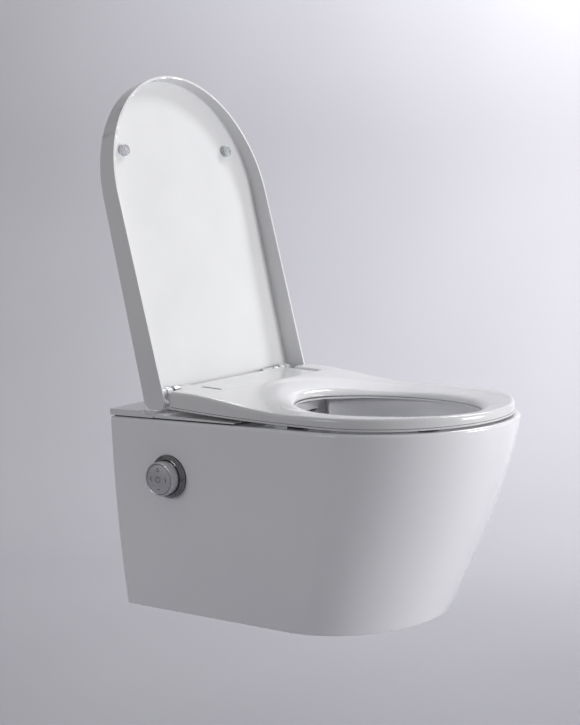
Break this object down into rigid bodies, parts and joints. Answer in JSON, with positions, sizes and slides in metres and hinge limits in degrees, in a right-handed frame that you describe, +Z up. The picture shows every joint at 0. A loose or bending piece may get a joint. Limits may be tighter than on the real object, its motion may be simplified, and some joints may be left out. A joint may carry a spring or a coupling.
{
  "type": "wall-hung shower toilet",
  "caption": "Wall-hung ceramic toilet with a built-in electric bidet seat, soft-close lid, retracting spray nozzle, warm-air dryer and a side control knob.",
  "frame": {"origin": "on the wall face of the pan, midway between the two wall fixings", "axes": "+X to the left of a person sitting on it, +Y into the wall, +Z up; the nose points to -Y and the knob is on -X"},
  "size_m": [0.405, 0.6187, 0.835],
  "materials": {
    "glazed_ceramic": "high gloss white glaze",
    "white_gloss": "polished white moulding",
    "grey_plastic": "fine matt",
    "tinted_plastic": "dark, smooth",
    "black_rubber": "soft matt",
    "clear_silicone": "milky, semi-gloss",
    "chrome": "mirror",
    "satin_metal": "satin",
    "steel": "machined",
    "brass": "machined",
    "copper_foil": "thin foil",
    "green_board": "coated board"
  },
  "bodies": {
    "pan": {"ceramic_pan": "glazed_ceramic", "fixing_sleeve_left": "grey_plastic", "fixing_nut_left": "steel", "fixing_sleeve_right": "grey_plastic", "fixing_nut_right": "steel", "inlet_seal": "black_rubber", "outlet_seal": "black_rubber", "deck_gasket": "black_rubber", "deck_tray": "grey_plastic", "rear_cover": "white_gloss", "base_plate": "white_gloss", "hinge_housing": "white_gloss", "indicator_window": "tinted_plastic", "hinge_bracket_left": "steel", "bracket_screw_left": "steel", "hinge_pin_left": "steel", "seat_damper": "grey_plastic", "hinge_bracket_right": "steel", "bracket_screw_right": "steel", "hinge_pin_right": "steel", "lid_damper": "grey_plastic", "nozzle_box": "white_gloss", "air_grille": "grey_plastic", "nozzle_motor": "steel", "nozzle_carrier": "grey_plastic", "heater_tank": "grey_plastic", "water_pump": "tinted_plastic", "inlet_valve": "grey_plastic", "valve_coil": "tinted_plastic", "diverter_valve": "grey_plastic", "control_board": "green_board", "power_supply": "tinted_plastic", "dryer_housing": "grey_plastic", "dryer_motor": "steel", "knob_escutcheon": "chrome", "button_spring": "steel", "knob_bush": "grey_plastic", "knob_washer": "black_rubber", "knob_nut": "grey_plastic", "knob_encoder": "green_board"},
    "lid": {"lid_shell": "white_gloss", "lid_bumper_left": "clear_silicone", "lid_bumper_right": "clear_silicone"},
    "seat": {"seat_top_shell": "white_gloss", "seat_bottom_shell": "white_gloss", "seat_heater": "copper_foil", "seat_bumper_front_left": "black_rubber", "seat_bumper_front_right": "black_rubber", "seat_bumper_middle_left": "black_rubber", "seat_bumper_middle_right": "black_rubber"},
    "knob": {"knob_ring": "satin_metal"},
    "button": {"knob_button": "satin_metal"},
    "wand": {"nozzle_wand": "grey_plastic", "nozzle_tip": "steel"},
    "shutter": {"nozzle_shutter": "white_gloss"},
    "pinion": {"nozzle_pinion": "brass"},
    "impeller": {"dryer_impeller": "tinted_plastic"}
  },
  "joints": [
    {"name": "lid_hinge", "type": "hinge", "parent": "pan", "child": "lid", "pos_m": [0, -0.084, 0.136], "axis": [-1, 0, 0], "range_deg": [-101.4, 0]},
    {"name": "seat_hinge", "type": "hinge", "parent": "pan", "child": "seat", "pos_m": [0, -0.084, 0.136], "axis": [-1, 0, 0], "range_deg": [0, 95]},
    {"name": "knob_turn", "type": "hinge", "parent": "pan", "child": "knob", "pos_m": [-0.2, -0.115, 0.014], "axis": [-1, 0, 0], "continuous": true},
    {"name": "knob_press", "type": "slide", "parent": "knob", "child": "button", "axis": [1, 0, 0], "range_m": [0, 0.0012], "stiffness_N_per_m": 800},
    {"name": "nozzle_slide", "type": "slide", "parent": "pan", "child": "wand", "axis": [0, -0.866, -0.5], "range_m": [0, 0.06]},
    {"name": "pinion_spin", "type": "hinge", "parent": "pan", "child": "pinion", "pos_m": [0, -0.12162, 0.09871], "axis": [1, 0, 0], "range_deg": [0, 480]},
    {"name": "shutter_hinge", "type": "hinge", "parent": "pan", "child": "shutter", "pos_m": [0, -0.2132, 0.0866], "axis": [-1, 0, 0], "range_deg": [0, 90.5]},
    {"name": "impeller_spin", "type": "hinge", "parent": "pan", "child": "impeller", "pos_m": [0.084, -0.112, 0.052], "axis": [1, 0, 0], "continuous": true}
  ],
  "couplings": [
    {"joint": "pinion_spin", "follows": "nozzle_slide", "rad_per_m": 138.89},
    {"joint": "shutter_hinge", "follows": "nozzle_slide", "rad_per_m": 26.18}
  ]
}
